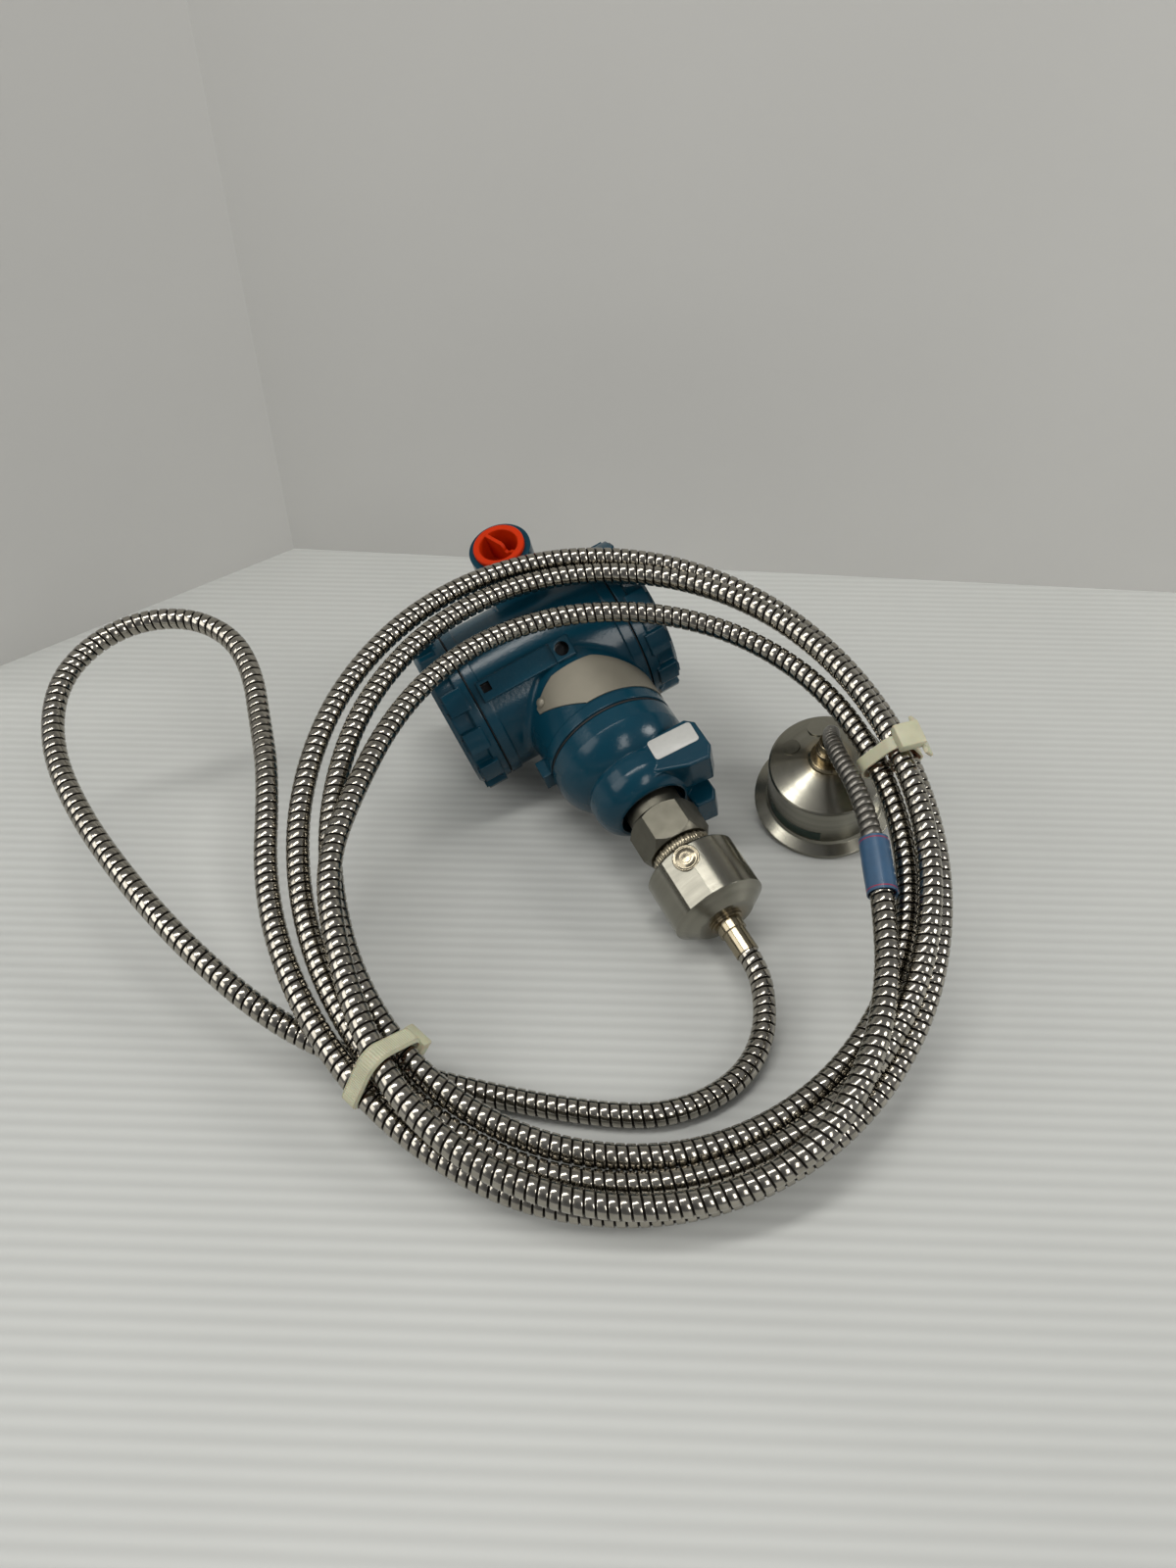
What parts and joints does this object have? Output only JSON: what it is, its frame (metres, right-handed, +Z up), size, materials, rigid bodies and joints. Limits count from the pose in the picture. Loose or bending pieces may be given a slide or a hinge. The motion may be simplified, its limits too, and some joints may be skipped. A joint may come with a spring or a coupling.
{
  "type": "pressure transmitter",
  "caption": "Pressure transmitter head on its side, with a coiled armoured capillary that ends in a remote clamp-type diaphragm seal.",
  "frame": {"origin": "bottom centre of the box round the transmitter and its seal as they lie, without the capillary", "axes": "+Z up from the surface it lies on, -Y towards the camera of the picture, +X to the camera's right"},
  "size_m": [0.3707, 0.3263, 0.1135],
  "materials": {
    "blue_paint": "gloss enamel",
    "stainless": "turned stainless steel",
    "plate_steel": "satin sheet",
    "warm_steel": "heat-tinted stainless steel",
    "armour": "bright interlocked strip",
    "black_rubber": "matte",
    "orange_plastic": "satin moulded",
    "black_plastic": "matte moulded",
    "nylon": "translucent natural",
    "tag_blue": "printed film",
    "green_tape": "worn film"
  },
  "bodies": {
    "transmitter": {"housing": "blue_paint", "terminal_gasket": "black_rubber", "electronics_gasket": "black_rubber", "blanking_plug": "stainless", "nameplate": "plate_steel", "nameplate_screw": "stainless", "terminal_block": "black_plastic", "terminal_screws": "stainless", "electronics_module": "black_plastic", "neck_seal": "black_rubber", "sensor_module": "blue_paint", "hex_connection": "stainless", "weld_bead": "stainless", "seal_adapter": "stainless", "adapter_fill_plug": "stainless", "capillary_fitting": "warm_steel", "seal_body": "stainless", "diaphragm": "plate_steel", "seal_fitting": "warm_steel", "seal_fill_plug": "stainless", "seal_port_plug": "stainless", "tape_band": "green_tape", "capillary_lead": "armour", "capillary_coil": "armour", "seal_lead": "armour", "left_tie": "nylon", "right_tie": "nylon", "tag_sleeve": "tag_blue"},
    "terminal_cover": {"terminal_cover": "blue_paint"},
    "electronics_cover": {"electronics_cover": "blue_paint"},
    "conduit_plug": {"conduit_plug": "orange_plastic"}
  },
  "joints": [
    {"name": "terminal_cover_turn", "type": "hinge", "parent": "transmitter", "child": "terminal_cover", "pos_m": [-0.0893, 0.02389, 0.03821], "axis": [-0.8701, -0.3771, -0.3173], "range_deg": [0, 1080]},
    {"name": "electronics_cover_turn", "type": "hinge", "parent": "transmitter", "child": "electronics_cover", "pos_m": [-0.00838, 0.05896, 0.06772], "axis": [0.8701, 0.3771, 0.3173], "range_deg": [0, 1080]},
    {"name": "conduit_plug_turn", "type": "hinge", "parent": "transmitter", "child": "conduit_plug", "pos_m": [-0.06928, 0.06037, 0.10384], "axis": [-0.1851, -0.3466, 0.9196], "range_deg": [0, 1080]}
  ]
}
